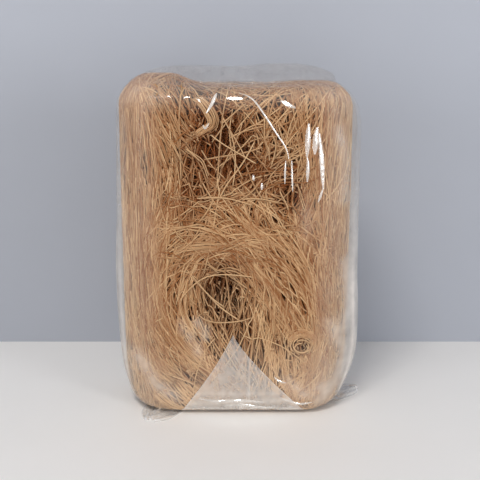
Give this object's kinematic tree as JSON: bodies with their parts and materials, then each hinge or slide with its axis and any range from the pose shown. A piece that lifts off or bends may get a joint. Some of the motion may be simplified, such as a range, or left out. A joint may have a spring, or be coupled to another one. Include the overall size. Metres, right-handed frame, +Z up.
{
  "type": "pack of dried rice vermicelli",
  "caption": "Upright rounded block of dried brown rice vermicelli drawn tight in clear film, with a film header, a folded triangular end flap and film corners at its foot.",
  "frame": {"origin": "middle of the flat face that the pack stands on", "axes": "+Z up along the pack's height, +X to the right as seen from the front, -Y out of the broad front face with the folded end flap"},
  "size_m": [0.1673, 0.0844, 0.2364],
  "materials": {
    "rice_noodle": "satin",
    "clear_film": "gloss"
  },
  "bodies": {
    "root": {"vermicelli_pack": "rice_noodle"}
  },
  "joints": []
}
